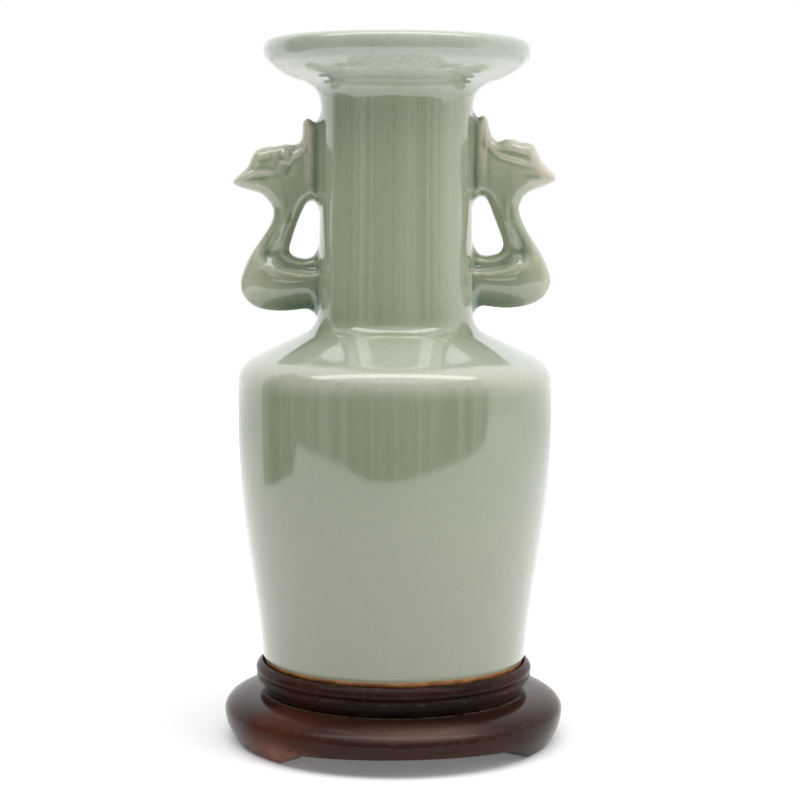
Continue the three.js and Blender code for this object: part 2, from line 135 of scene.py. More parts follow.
def wheel_tree():
    """Turns a profile about the axis, as a lathe or a potter's wheel does. Bearing 0 faces -Y."""
    tree = bpy.data.node_groups.new("wheel_turned", "GeometryNodeTree")
    tree.interface.new_socket("Geometry", in_out="OUTPUT", socket_type="NodeSocketGeometry")
    inputs = {
        "Object": ["Profile"],
        "Int": ["Sides", "Seed", "Feet"],
        "Float": [
            "Wobble", "Wobble Scale", "Lean", "Lean From", "Lean To",
            "First Foot", "Foot Half Angle", "Ogee Angle", "Apron Height", "Apron Arch",
        ],
        "Material": ["Material"],
    }
    for kind, names in inputs.items():
        for name in names:
            tree.interface.new_socket(name, in_out="INPUT", socket_type="NodeSocket" + kind)
    given = Wire(tree).node("NodeGroupInput")
    sides = given.out("Sides")

    # A sheet of rows along the profile and columns round the axis
    profile = given.node("GeometryNodeObjectInfo", {}, {"Object": given.out("Profile")}, "Geometry")
    rows = given.node("GeometryNodeAttributeDomainSize", {}, {"Geometry": profile}, "Point Count")
    sheet = given.node("GeometryNodeMeshGrid", {}, {"Vertices X": sides + 1, "Vertices Y": rows}, "Mesh")
    index = given.node("GeometryNodeInputIndex")
    column = given.math("FLOOR", (index + 0.5) / rows)
    row = index - column * rows
    bearing = column / sides * math.tau

    def on_profile(value, kind):
        return given.node(
            "GeometryNodeSampleIndex",
            {"data_type": kind, "domain": "POINT"},
            {"Geometry": profile, "Value": value, "Index": row},
        )

    place = on_profile(given.node("GeometryNodeInputPosition"), "FLOAT_VECTOR")
    film = given.node("GeometryNodeInputNamedAttribute", {"data_type": "FLOAT"}, {"Name": "film"})
    film = on_profile(film, "FLOAT")
    radius = place.node("ShaderNodeSeparateXYZ", {}, {0: place}, "X")
    height = radius.out("Z")

    # The apron's lower edge: up from each foot in an ogee, then a shallow arch to the next
    turn = math.tau / given.out("Feet")
    from_first = bearing - given.out("First Foot")
    from_foot = abs(from_first - turn * given.math("ROUND", from_first / turn))
    ogee_start = given.out("Foot Half Angle")
    ogee_end = ogee_start + given.out("Ogee Angle")
    ogee = eased(from_foot, ogee_start, ogee_end)
    past = given.node(
        "ShaderNodeMapRange", {}, {"Value": from_foot, "From Min": ogee_end, "From Max": turn / 2}
    )
    arch = given.math("SINE", past * (math.pi / 2))
    edge = given.out("Apron Height") * ogee + given.out("Apron Arch") * arch
    height = given.math("MAXIMUM", height, edge)

    # A turned wall is never quite round, and a thrown neck never quite upright
    def on_circle(reach, upright):
        return given.node(
            "ShaderNodeCombineXYZ",
            {},
            {
                "X": reach * given.math("SINE", bearing),
                "Y": reach * given.math("COSINE", bearing) * -1,
                "Z": upright,
            },
        )

    around = on_circle(radius, height)
    drift = noise(around, scale=given.out("Wobble Scale"), detail=1.0, seed=given.out("Seed"))
    round_from = 10 * MM
    off_axis = given.math("MINIMUM", radius / round_from, 1.0)
    radius = radius + (drift - 0.5) * 2 * given.out("Wobble") * off_axis
    lean = given.out("Lean") * eased(height, given.out("Lean From"), given.out("Lean To"))
    upright = on_circle(radius, height)
    leaning = given.node(
        "ShaderNodeVectorMath",
        {"operation": "ADD"},
        {0: upright, 1: given.node("ShaderNodeCombineXYZ", {}, {"X": lean})},
    )
    turned = given.node("GeometryNodeSetPosition", {}, {"Geometry": sheet, "Position": leaning})
    turned = given.node(
        "GeometryNodeStoreNamedAttribute",
        {"data_type": "FLOAT", "domain": "POINT"},
        {"Geometry": turned, "Name": "film", "Value": film},
    )
    seam = 0.001 * MM
    turned = given.node("GeometryNodeMergeByDistance", {}, {"Geometry": turned, "Distance": seam})
    turned = given.node("GeometryNodeSetShadeSmooth", {}, {"Geometry": turned, "Shade Smooth": True})
    turned = given.node("GeometryNodeRealizeInstances", {}, {"Geometry": turned})
    material = given.out("Material")
    turned = given.node("GeometryNodeSetMaterial", {}, {"Geometry": turned, "Material": material})
    turned.into(tree.nodes.new("NodeGroupOutput"), "Geometry")
    return tree


WHEEL = wheel_tree()


def curve(start, corner, end, steps):
    """Points of a quadratic curve, without its first."""
    t = np.linspace(0, 1, steps + 1)[1:, None]
    start, corner, end = map(np.array, (start, corner, end))
    return [*((1 - t) ** 2 * start + 2 * t * (1 - t) * corner + t**2 * end)]


def line(start, end, steps):
    """Points of a straight line, without its first."""
    return curve(start, (np.array(start) + np.array(end)) / 2, end, steps)


def chain(start, *pieces):
    """A profile along lines (steps, end), curves (steps, corner, end) and lists of points."""
    points = [start]
    for piece in pieces:
        if isinstance(piece, tuple):
            steps, *ends = piece
            run = line if len(ends) == 1 else curve
            points += run(points[-1], *ends, steps)
        else:
            points += [*piece]
    return points


def broken_edges(corners, ease, steps=4):
    """A profile's corners, each rounded over the length ease, as fine sanding leaves them."""
    most_of_side = 0.45
    corners = [np.array(c, float) for c in corners]
    points = []
    for i, corner in enumerate(corners):
        before = corners[i - 1] - corner
        after = corners[(i + 1) % len(corners)] - corner
        near = np.linalg.norm(before)
        far = np.linalg.norm(after)
        start = corner + before * min(ease / near, most_of_side)
        end = corner + after * min(ease / far, most_of_side)
        points += [start, *curve(start, corner, end, steps)]
    return [*points, points[0]]


# Thickness of a liquid finish: 0.5 on plain walls, towards 0 on sharp edges and 1 in hollows
PLAIN_FILM = 0.5
FILM_RANGE = 0.48


def film_on(points, reach, hold):
    """Film along a profile. Bends are felt over reach, and hold is the bend that thins the film strongly."""
    step = np.diff(np.array(points), axis=0)
    along = np.concatenate([[0], np.cumsum(np.linalg.norm(step, axis=1))])
    turning = np.diff(np.unwrap(np.arctan2(step[:, 1], step[:, 0])))
    spread = np.exp(-(((along[:, None] - along[1:-1]) / reach) ** 2) / 2)
    bending = (spread * turning).sum(1) / (reach * math.sqrt(math.tau))
    pooled = np.where(bending < 0, bending / 2, bending)
    return PLAIN_FILM - FILM_RANGE * np.tanh(pooled / hold)


def placed(name, data):
    """A new object in the scene, at the origin."""
    made = bpy.data.objects.new(name, data)
    bpy.context.scene.collection.objects.link(made)
    return made


def turned_piece(name, points, material, sides, film, **shape):
    """A turned solid from a profile in millimetres that keeps the solid on its left."""
    rows = bpy.data.meshes.new(name + "_profile")
    points = np.array(points)
    corners = np.zeros((len(points), 3))
    corners[:, [0, 2]] = points * MM
    rows.from_pydata(corners, [(i, i + 1) for i in range(len(points) - 1)], [])
    rows.attributes.new("film", "FLOAT", "POINT").data.foreach_set("value", film)
    profile = bpy.data.objects.new(name + "_profile", rows)
    piece = placed(name, bpy.data.meshes.new(name))
    modifier = piece.modifiers.new("wheel", "NODES")
    modifier.node_group = WHEEL
    sockets = {s.name: s.identifier for s in WHEEL.interface.items_tree if s.in_out == "INPUT"}
    given = {"Profile": profile, "Sides": sides, "Material": material, "Feet": 1, "Lean To": 1.0, **shape}
    for key, value in given.items():
        modifier[sockets[key.replace("_", " ")]] = value
    ready = piece.evaluated_get(bpy.context.evaluated_depsgraph_get())
    piece.data = bpy.data.meshes.new_from_object(ready)
    piece.modifiers.remove(modifier)
    bpy.data.objects.remove(profile)
    return piece


def mixed(factor, low, high):
    """The colour low where factor is 0 and high where it is 1."""
    return factor.node("ShaderNodeMix", {"data_type": "RGBA"}, {0: factor, 6: low, 7: high}, 2)


def new_material(name):
    """A material, its shader and its node tree."""
    material = bpy.data.materials.new(name)
    material.use_nodes = True
    return material, material.node_tree.nodes["Principled BSDF"], Wire(material.node_tree)


def hardwood(name, gloss, seam_radius=None):
    """Dark reddish-brown hardwood with its grain along X, waxed, and rubbed paler on edges and feet. The
    pale edges also paint part of their highlights, and on the base a highlight is painted on the front of
    the crown.
    """
    dark = (0.0125, 0.0062, 0.0046, 1)
    brown = (0.034, 0.0125, 0.0082, 1)
    red = (0.115, 0.030, 0.019, 1)
    # Pale rubbed wood; the same colour paints highlights on the edges and on the base's crown
    rubbed_and_highlight = (0.100, 0.060, 0.046, 1)
    worn = (0.260, 0.120, 0.088, 1)
    chipped = (0.26, 0.20, 0.155, 1)
    dust = (0.125, 0.094, 0.060, 1)
    # Where hands wore the stain: middle in millimetres, reach, strength. Elsewhere it is barely worn
    worn_spots = [((-38, -46, 19), 26, 0.5), ((-47, -45, 5), 24, 1.0)]
    worn_elsewhere = 0.06
    worn_through = 0.1
    raggedness = 40 * MM
    # A highlight painted on the crown of the base, on its front, where the top lamp is mirrored
    painted_highlight_height = 16.4 * MM
    painted_highlight_spread = (3.2 * MM, 0.4 * MM)
    painted_highlight_middle = (13, -65, 16)
    painted_highlight_reach = 38
    material, shader, tree = new_material(name)
    place = tree.node("ShaderNodeTexCoord", output="Object")
    height = place.node("ShaderNodeSeparateXYZ", {}, {0: place}, "Z")
    film = place.node("ShaderNodeAttribute", {"attribute_name": "film"}, {}, "Fac")
    bands = noise(place, scale=55, detail=4, stretch=(0.16, 1.0, 1.0), seed=3)
    pores = noise(place, scale=620, detail=2, stretch=(0.05, 1.0, 1.0), seed=5)
    patches = noise(place, scale=24, stretch=(0.7, 1.0, 1.6), seed=11)
    wear = noise(place, scale=260, seed=7)
    chips = noise(place, scale=900, detail=1, seed=9)
    colour = mixed(eased(bands, 0.34, 0.68), dark, brown)
    handled = worn_elsewhere
    ragged = (patches - 0.5) * raggedness

    def near_to(spot, reach):
        spot = [c * MM for c in spot]
        away = place.node("ShaderNodeVectorMath", {"operation": "DISTANCE"}, {0: place, 1: spot}, "Value")
        return eased(away + ragged, reach * MM, worn_through * reach * MM)

    for spot, reach, strength in worn_spots:
        handled = handled + strength * near_to(spot, reach)

    # Red and then bare wood in patches, dark pores, pale rubbed edges whose paleness also paints part of
    # their highlights, and a few pale chips. The limits are levels of the noise, which lies mostly between
    # 0.3 and 0.7
    colour = mixed((0.35 + 0.35 * eased(patches, 0.36, 0.60)) * handled, colour, red)
    colour = mixed(eased(height, 12 * MM, 4 * MM) * eased(patches, 0.30, 0.54) * handled, colour, worn)
    colour = mixed(eased(pores, 0.60, 0.72) * 0.75, colour, dark)
    edge = eased(film, 0.34, 0.05)
    # Pale edges: rubbed wear, and also a painted highlight along them
    colour = mixed(edge * eased(wear, 0.46, 0.72) * 0.4, colour, rubbed_and_highlight)
    colour = mixed(eased(chips, 0.745, 0.780) * 0.8, colour, chipped)
    if seam_radius:
        flat = place.node("ShaderNodeVectorMath", {"operation": "MULTIPLY"}, {0: place, 1: (1, 1, 0)})
        reach = flat.node("ShaderNodeVectorMath", {"operation": "LENGTH"}, {0: flat}, "Value")
        seam_spread = (1.3 * MM, 0.2 * MM)
        dusty = eased(abs(reach - seam_radius), *seam_spread) * eased(wear, 0.34, 0.58)
        colour = mixed(dusty * 0.8, colour, dust)
        # Painted highlight: a pale band along the front of the base's crown
        painted_highlight = eased(abs(height - painted_highlight_height), *painted_highlight_spread) * near_to(painted_highlight_middle, painted_highlight_reach)
        colour = mixed(painted_highlight * 0.95, colour, rubbed_and_highlight)
    rough = 0.16 + 0.10 * eased(wear, 0.35, 0.75) + 0.10 * eased(pores, 0.55, 0.7)
    grain = bands * 0.3 - eased(pores, 0.56, 0.74) * 0.5
    bump = place.node("ShaderNodeBump", {}, {"Height": grain, "Strength": 0.4, "Distance": 0.10 * MM})
    colour.into(shader, "Base Color")
    rough.into(shader, "Roughness")
    bump.into(shader, "Normal")
    waxed = (1 - 0.9 * eased(handled, 0.0, 1.0)) * gloss
    waxed.into(shader, "Coat Weight")
    shader.inputs["Specular IOR Level"].default_value = 0.05
    shader.inputs["Coat Roughness"].default_value = 0.12
    return material


base_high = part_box("base_ring")[1]
BASE_RADIUS = base_high.x / MM
BASE_HEIGHT = base_high.z / MM
BASE_WIDEST_HEIGHT = 12.4
BASE_SHOULDER_DROP = 1.6
BASE_SHOULDER_ROUND = 1.0
SEAM_RADIUS = 53.98
BASE_BORE = 45.38
TOE_RADIUS = BASE_RADIUS - 4.3
HEEL_RADIUS = TOE_RADIUS - 9.8
FOOT_BEARING = 66
FOOT_WIDTH = 22
OGEE_WIDTH = 13.5
APRON_HEIGHT = 6.0
APRON_ARCH = 1.5
EDGE_EASE = 0.5

face = []
for height in np.linspace(0, BASE_WIDEST_HEIGHT, 30)[1:]:
    face.append((BASE_RADIUS - (BASE_RADIUS - TOE_RADIUS) * (1 - height / BASE_WIDEST_HEIGHT) ** 2, height))
base_shoulder = (BASE_RADIUS - BASE_SHOULDER_ROUND, BASE_HEIGHT - BASE_SHOULDER_DROP)
base_points = chain(
    (BASE_BORE, BASE_HEIGHT),
    (4, (BASE_BORE, BASE_WIDEST_HEIGHT)),
    (10, (HEEL_RADIUS, 0)),
    (6, (TOE_RADIUS - EDGE_EASE, 0)),
    face,
    (26, base_shoulder, (SEAM_RADIUS, BASE_HEIGHT)),
    (4, (BASE_BORE, BASE_HEIGHT)),
)
base = turned_piece(
    "stand_base",
    base_points,
    hardwood("base_hardwood", gloss=0.25, seam_radius=SEAM_RADIUS * MM),
    sides=288,
    film=film_on(base_points, reach=1.6, hold=0.22),
    Wobble=0.25 * MM,
    Wobble_Scale=22.0,
    Seed=2,
    Feet=3,
    First_Foot=math.radians(FOOT_BEARING),
    Foot_Half_Angle=FOOT_WIDTH / 2 / TOE_RADIUS,
    Ogee_Angle=OGEE_WIDTH / TOE_RADIUS,
    Apron_Height=APRON_HEIGHT * MM,
    Apron_Arch=APRON_ARCH * MM,
)
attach(base, "stand")
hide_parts("base_ring")

# Seat ring of the stand: turned from the same wood in one piece. It has a plain waist, a beaded rim
# with a groove and a fillet below the bead, and inside the rim a ledge that the vase's foot stands on.
seat_low, seat_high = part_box("seat_ring")
RIM_INSIDE = 53.18
RIM_EDGE = 0.3
RIM_BEAD = 4.2
RIM_GROOVE = 1.8
RIM_FILLET = 2.5
RIM_FILLET_HEIGHT = 0.9
RIM_GROOVE_HEIGHT = 0.8
RIM_HEIGHT = 7.0
RIM_RUBBED = 0.8
WAIST_RADIUS = 52.38
LEDGE_WIDTH = 13.0
FLOOR_REBATE = 4.0
FLOOR_THICKNESS = 4.5
SEAT_BOTTOM = seat_low.z / MM
RIM_TOP = seat_high.z / MM - RIM_RUBBED
SEAT_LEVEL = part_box("body_section")[0].z / MM

rim_bottom = RIM_TOP - RIM_HEIGHT
groove_level = rim_bottom + RIM_FILLET_HEIGHT + RIM_GROOVE_HEIGHT
rebate = RIM_INSIDE - LEDGE_WIDTH
seat_corners = [
    (WAIST_RADIUS, SEAT_BOTTOM),
    (WAIST_RADIUS, rim_bottom),
    (RIM_INSIDE + RIM_FILLET, rim_bottom),
    (RIM_INSIDE + RIM_FILLET, rim_bottom + RIM_FILLET_HEIGHT),
    (RIM_INSIDE + RIM_GROOVE, groove_level),
    *curve(
        (RIM_INSIDE + RIM_GROOVE, groove_level),
        (RIM_INSIDE + RIM_BEAD, (groove_level + RIM_TOP) / 2),
        (RIM_INSIDE + RIM_EDGE, RIM_TOP),
        14,
    ),
    (RIM_INSIDE, RIM_TOP - RIM_EDGE),
    (RIM_INSIDE, SEAT_LEVEL),
    (rebate, SEAT_LEVEL),
    (rebate, SEAT_LEVEL - FLOOR_THICKNESS),
    (rebate - FLOOR_REBATE, SEAT_LEVEL - FLOOR_THICKNESS),
    (rebate - FLOOR_REBATE, SEAT_BOTTOM),
]
seat_points = broken_edges(seat_corners, ease=0.3)
seat = turned_piece(
    "stand_seat",
    seat_points,
    hardwood("seat_hardwood", gloss=0.08),
    sides=240,
    film=film_on(seat_points, reach=0.7, hold=0.5),
    Wobble=0.15 * MM,
    Wobble_Scale=25.0,
    Seed=5,
)
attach(seat, "stand")
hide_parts("seat_ring")

# Floor board of the stand: a thin disc of the same wood, let into the rebate of the seat ring and
# glued. It only shows when the vase is lifted out.
board_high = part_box("floor_board")[1]
BOARD_RADIUS = board_high.x / MM
BOARD_MIDDLE = 0.001
board_corners = [
    (BOARD_MIDDLE, SEAT_LEVEL - FLOOR_THICKNESS),
    (BOARD_RADIUS, SEAT_LEVEL - FLOOR_THICKNESS),
    (BOARD_RADIUS, SEAT_LEVEL),
    (BOARD_MIDDLE, SEAT_LEVEL),
]
board_points = broken_edges(board_corners, ease=0.4)
board = turned_piece(
    "stand_floor",
    board_points,
    hardwood("floor_hardwood", gloss=0.08),
    sides=120,
    film=np.full(len(board_points), PLAIN_FILM),
)
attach(board, "stand")
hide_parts("floor_board")


# Vase: stoneware thrown in three sections, body, neck and mouth dish, joined with slip and then
# glazed as one. The grey-green glaze runs thin and buff over the edges and pools in the hollows, and
# it was wiped off the foot, which burnt orange in the kiln.
def celadon(name):
    """Thick celadon glaze over stoneware, with a bare foot."""
    # Colour by thickness, from thin to pooled
    by_film = [
        (0.00, (0.555, 0.535, 0.415)),
        (0.22, (0.395, 0.415, 0.300)),
        (0.40, (0.322, 0.366, 0.250)),
        (0.55, (0.280, 0.318, 0.212)),
        (0.80, (0.168, 0.226, 0.150)),
        (1.00, (0.095, 0.158, 0.105)),
    ]
    teal = (0.225, 0.312, 0.235, 1)
    olive = (0.320, 0.325, 0.205, 1)
    ashy = (0.306, 0.320, 0.231, 1)
    milky_and_sheen = (0.400, 0.445, 0.372, 1)
    pale = (0.490, 0.485, 0.395, 1)
    painted_underside_light = (0.530, 0.570, 0.475, 1)
    iron = (0.135, 0.150, 0.095, 1)
    bubbles = (0.44, 0.46, 0.36, 1)
    pooled = (0.205, 0.240, 0.140, 1)
    buff = (0.50, 0.40, 0.22, 1)
    burnt = (0.30, 0.105, 0.028, 1)
    scorched = (0.56, 0.250, 0.085, 1)
    # Heights in millimetres where the colour starts to change, is changed, fades, and is plain again
    shoulder_band = (146, 152, 158, 167)
    edge_band = (141.5, 149.5, 152.5, 155)
    under_dish_band = (262.5, 266.5, 269.5, 271.5)
    material, shader, tree = new_material(name)
    place = tree.node("ShaderNodeTexCoord", output="Object")
    film = place.node("ShaderNodeAttribute", {"attribute_name": "film"}, {}, "Fac")
    clouds = noise(place, scale=18, seed=2)
    runs = noise(place, scale=70, stretch=(1.0, 1.0, 0.10), seed=4)
    streaks = noise(place, scale=260, detail=2, stretch=(1.0, 1.0, 0.02), seed=16)
    mottle = noise(place, scale=420, detail=4, seed=6)
    specks = noise(place, scale=1500, detail=2, seed=8)
    height = place.node("ShaderNodeSeparateXYZ", {}, {0: place}, "Z")

    def between(start, changed, fading, plain):
        return eased(height, start * MM, changed * MM) * eased(height, plain * MM, fading * MM)

    # Clouds everywhere, streaks down the neck, and a thinner, paler coat above the shoulder than below,
    # which also paints the stronger light on the upper vase
    drawn = (runs - 0.5) * 0.18 + (streaks - 0.5) * 0.30
    thickness = film + (clouds - 0.5) * 0.16 + drawn * eased(height, 120 * MM, 180 * MM)
    thickness = thickness + 0.06 - 0.19 * eased(height, 136 * MM, 170 * MM)
    colour = place.node("ShaderNodeValToRGB", {"stops": by_film}, {"Fac": thickness})
    colour = mixed(eased(height, 118 * MM, 78 * MM) * 0.8, colour, ashy)
    on_shoulder = between(*shoulder_band)
    on_dish = eased(height, 256 * MM, 264 * MM)
    on_edge = between(*edge_band)
    # Milky tone on the shoulder and the dish: partly the glaze's paler tone, partly a painted sheen of the
    # light they mirror and catch from below
    colour = mixed(on_shoulder * 0.65 + on_dish * 0.85, colour, milky_and_sheen)
    colour = mixed(on_edge * 0.64, colour, pale)
    # Painted light under the dish: a pale band for the table's light and reflection there
    colour = mixed(between(*under_dish_band) * 0.75, colour, painted_underside_light)

    # Fine mottling, iron specks and bubbles in the glaze, at levels of the noise
    colour = mixed(eased(mottle, 0.50, 0.68) * 0.28, colour, teal)
    colour = mixed(eased(mottle, 0.46, 0.30) * 0.28, colour, olive)
    colour = mixed(eased(specks, 0.62, 0.72) * 0.25, colour, iron)
    colour = mixed(eased(specks, 0.36, 0.28) * 0.25, colour, bubbles)
    rough = 0.06 + 0.05 * eased(mottle, 0.45, 0.7)

    # Bare foot below a wavy line, where the glaze ends in a thick roll with a thin rim
    wave = (noise(place, scale=35, detail=2, seed=12) - 0.5) * (2.6 * MM)
    above = height - GLAZE_LINE * MM + wave
    bare = eased(above, 0.25 * MM, -0.25 * MM)
    roll = eased(above, 2.4 * MM, 1.2 * MM)
    rim = eased(above, 0.9 * MM, 0.2 * MM)
    kiln = mixed(eased(noise(place, scale=160, seed=14), 0.35, 0.7), burnt, scorched)
    colour = mixed(roll * 0.55, colour, pooled)
    colour = mixed(rim * 0.7, colour, buff)
    colour = mixed(bare, colour, kiln)
    rough = rough + bare * 0.5
    skin = mottle * 0.6 + specks * 0.4 + bare * eased(specks, 0.3, 0.7)
    bump = place.node("ShaderNodeBump", {}, {"Height": skin, "Strength": 0.17, "Distance": 0.06 * MM})
    colour.into(shader, "Base Color")
    rough.into(shader, "Roughness")
    bump.into(shader, "Normal")
    (1 - bare).into(shader, "Coat Weight")
    shader.inputs["IOR"].default_value = 1.62
    shader.inputs["Coat Roughness"].default_value = 0.07
    return material


body_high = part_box("body_section")[1]
dish_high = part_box("mouth_dish")[1]
BODY_RADIUS = body_high.x / MM
DISH_RADIUS = dish_high.x / MM
LIP_TOP = dish_high.z / MM
FOOT_RADIUS = 53.4
FOOT_BOTTOM_RADIUS = 50.3
FOOT_RING_WIDTH = 6.5
FOOT_RECESS = 3.5
FOOT_HEIGHT = 7.6
FOOT_EDGE_ROUND = 0.8
FOOT_TOE = (0.4, 1.0)
RECESS_ROUND = 2.0
GLAZE_LINE = 33.2
BASE_THICKNESS = 8.0
BODY_RISE = 102.7
LOWER_WALL = (3.4, 35.0)
UPPER_WALL_RUN = 50.0
SHOULDER_EDGE_RISE = 14.3
SHOULDER_EDGE_ROUND = 7.4
SHOULDER_RISE = 14.8
WALL = 5.0
NECK_RADIUS = 30.2
NECK_SPREAD = 1.0
NECK_WALL = 4.8
NECK_FOOT_ROUND = 5.9
MOUTH_ROUND = 8.8
LIP_HEIGHT = 9.8
LIP_THICKNESS = 5.2
LIP_LEAN = 1.6
DISH_SLOPE_RISE = 8.2
DISH_START_RISE = 1.6
DISH_BELLY = 2.7
LIP_WIDEST = 4.2
LIP_CORNER_DROP = 6.2
LIP_TUCK = 0.25
LIP_TOP_TUCK = 0.2
LIP_CORNER_ROUND = 3.4
DISH_WALL = 5.0
NECK_LEAN = 0.3

foot_top = SEAT_LEVEL + FOOT_HEIGHT
belly = foot_top + BODY_RISE
shoulder_edge = belly + SHOULDER_EDGE_RISE
neck_foot = shoulder_edge + SHOULDER_RISE
dish_edge = LIP_TOP - LIP_HEIGHT
neck_top = dish_edge - DISH_SLOPE_RISE
lip_middle = dish_edge + LIP_HEIGHT / 2
lip_widest = LIP_TOP - LIP_WIDEST
lip_corner = LIP_TOP - LIP_CORNER_DROP
neck_start = neck_foot + NECK_FOOT_ROUND
neck_end = neck_top - MOUTH_ROUND
neck_bore = NECK_RADIUS - NECK_WALL
neck_root = NECK_RADIUS + NECK_SPREAD
slope = SHOULDER_RISE / (BODY_RADIUS - neck_root)


def shoulder_at(radius):
    return neck_foot - (radius - neck_root) * slope


def neck_radius(height):
    left = np.clip((neck_end - height) / (neck_end - neck_start), 0, 1)
    return NECK_RADIUS + NECK_SPREAD * left**2


def body_wall(steps):
    """The outside of the body from the foot to the belly, a cubic curve."""
    t = np.linspace(0, 1, steps + 1)[:, None]
    ends = np.array([(FOOT_RADIUS, foot_top), (BODY_RADIUS, belly)])
    low = ends[0] + np.array(LOWER_WALL)
    high = ends[1] - np.array((0, UPPER_WALL_RUN))
    return (1 - t) ** 3 * ends[0] + 3 * t * (1 - t) ** 2 * low + 3 * t**2 * (1 - t) * high + t**3 * ends[1]


edge_end = BODY_RADIUS - SHOULDER_EDGE_ROUND
fillet = neck_root + NECK_FOOT_ROUND
ring_inside = FOOT_BOTTOM_RADIUS - FOOT_RING_WIDTH
floor_level = SEAT_LEVEL + FOOT_RECESS + BASE_THICKNESS
lip_crown = DISH_RADIUS - LIP_LEAN - LIP_THICKNESS / 2
lip_inside = DISH_RADIUS - LIP_LEAN - LIP_THICKNESS
dish_root = neck_bore + MOUTH_ROUND
heights = np.linspace(neck_start, neck_end, 60)[1:]
inner_wall = body_wall(24)[::-1] - np.array((WALL, 0))
recess = SEAT_LEVEL + FOOT_RECESS
foot_toe = (FOOT_BOTTOM_RADIUS + FOOT_TOE[0], SEAT_LEVEL + FOOT_TOE[1])
inner_neck_root = neck_root + WALL


def under_lip(inward, down):
    """A place at the corner below the lip, by shares of the corner's round."""
    return (DISH_RADIUS - inward * LIP_CORNER_ROUND, dish_edge - down * LIP_CORNER_ROUND)


vase_points = chain(
    # Recess, foot ring and outer wall up to the neck
    (0, recess),
    (6, (ring_inside - RECESS_ROUND, recess)),
    (8, (ring_inside, recess), (ring_inside + FOOT_EDGE_ROUND, SEAT_LEVEL)),
    (4, (FOOT_BOTTOM_RADIUS - FOOT_EDGE_ROUND, SEAT_LEVEL)),
    (6, (FOOT_BOTTOM_RADIUS, SEAT_LEVEL), foot_toe),
    (14, (FOOT_RADIUS, foot_top)),
    body_wall(90)[1:],
    (8, (BODY_RADIUS, shoulder_edge - SHOULDER_EDGE_ROUND)),
    (20, (BODY_RADIUS, shoulder_edge), (edge_end, shoulder_at(edge_end))),
    (16, (fillet, shoulder_at(fillet))),
    (16, (neck_root, neck_foot), (neck_radius(neck_start), neck_start)),
    # Neck, mouth dish and lip
    [*zip(neck_radius(heights), heights)],
    (16, (NECK_RADIUS, neck_top), (NECK_RADIUS + MOUTH_ROUND, neck_top + DISH_START_RISE)),
    (18, under_lip(2.2, 1.3), under_lip(1, 0.2)),
    (14, under_lip(0.2, -0.4), (DISH_RADIUS - LIP_TUCK, lip_corner)),
    (3, (DISH_RADIUS, lip_widest)),
    (14, (DISH_RADIUS - LIP_TOP_TUCK, LIP_TOP), (lip_crown, LIP_TOP)),
    (12, (lip_inside, LIP_TOP), (lip_inside, lip_middle)),
    # Down the inside to the floor
    (14, (lip_inside - LIP_LEAN, dish_edge - DISH_BELLY + DISH_WALL), (dish_root, neck_top + DISH_WALL)),
    (14, (neck_bore, neck_top), (neck_bore, neck_end)),
    (20, (neck_bore, neck_foot - WALL / 2)),
    (8, (neck_bore, neck_foot - WALL), (inner_neck_root, shoulder_at(inner_neck_root) - WALL)),
    (12, (BODY_RADIUS - WALL, shoulder_edge - WALL), inner_wall[0]),
    [p for p in inner_wall[1:] if p[1] > floor_level + WALL],
    curve(
        inner_wall[-1] + np.array((0, WALL * 2)),
        (FOOT_RADIUS - WALL, floor_level),
        (FOOT_RADIUS - 3 * WALL, floor_level),
        8,
    ),
    (6, (0, floor_level)),
)
glaze = celadon("celadon_glaze")
vase = turned_piece(
    "glazed_vase",
    vase_points,
    glaze,
    sides=228,
    film=film_on(vase_points, reach=1.4, hold=0.5),
    Wobble=0.14 * MM,
    Wobble_Scale=13.0,
    Seed=9,
    Lean=NECK_LEAN * MM,
    Lean_From=neck_foot * MM,
    Lean_To=LIP_TOP * MM,
)
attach(vase, "vase")
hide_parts("body_section", "shoulder_luting_ring", "neck_section", "mouth_luting_ring", "mouth_dish")

# Bird handles: each is a crested bird pressed in a two-part mould, so both its sides carry the same
# relief. Its breast curves down into a stub that meets the neck, and the back of its head meets the
# neck higher up. Both are stuck on with pads of slip before glazing.
# Outlines in millimetres, as reach from the vase's axis and height
LEFT_OUTLINE = [
    # Breast, from the neck of the vase outwards, and throat
    (26, 173.6), (35.5, 173.7), (40.8, 173.1), (47.2, 172.9), (53.6, 173.7), (57.9, 176.1), (60.6, 179.8),
    (61.2, 183.0), (60.9, 185.6), (59.5, 189.9), (56.9, 195.2), (53.6, 200.0), (50.4, 204.8), (48.6, 208.4),
    (48.0, 211.7), (48.6, 214.4), (50.4, 217.1), (53.1, 219.5),
    # Beak, head and crest
    (56.3, 220.5), (60.1, 221.6), (63.3, 222.7), (64.1, 224.0), (62.9, 225.5), (58.5, 229.6), (57.1, 232.8),
    (55.8, 235.4), (53.9, 236.8), (51.0, 237.4), (47.2, 237.7), (44.6, 238.4), (41.9, 238.4), (39.5, 238.5),
    (37.6, 239.6), (36.7, 242.1), (36.5, 245.0), (36.4, 247.4), (35.2, 248.6), (34.0, 248.5), (32.4, 247.1),
    (31.0, 246.8), (29.2, 247.8), (26, 248.2),
    # Gap beside the neck of the vase
    (26, 216.6), (31.2, 216.6), (32.8, 217.0), (35.5, 215.5), (37.6, 211.7), (39.5, 206.9), (41.3, 201.6),
    (42.3, 197.9), (41.9, 195.5), (39.7, 193.9), (36.0, 193.2), (32.3, 193.9), (30.1, 195.4), (26, 196.0),
]
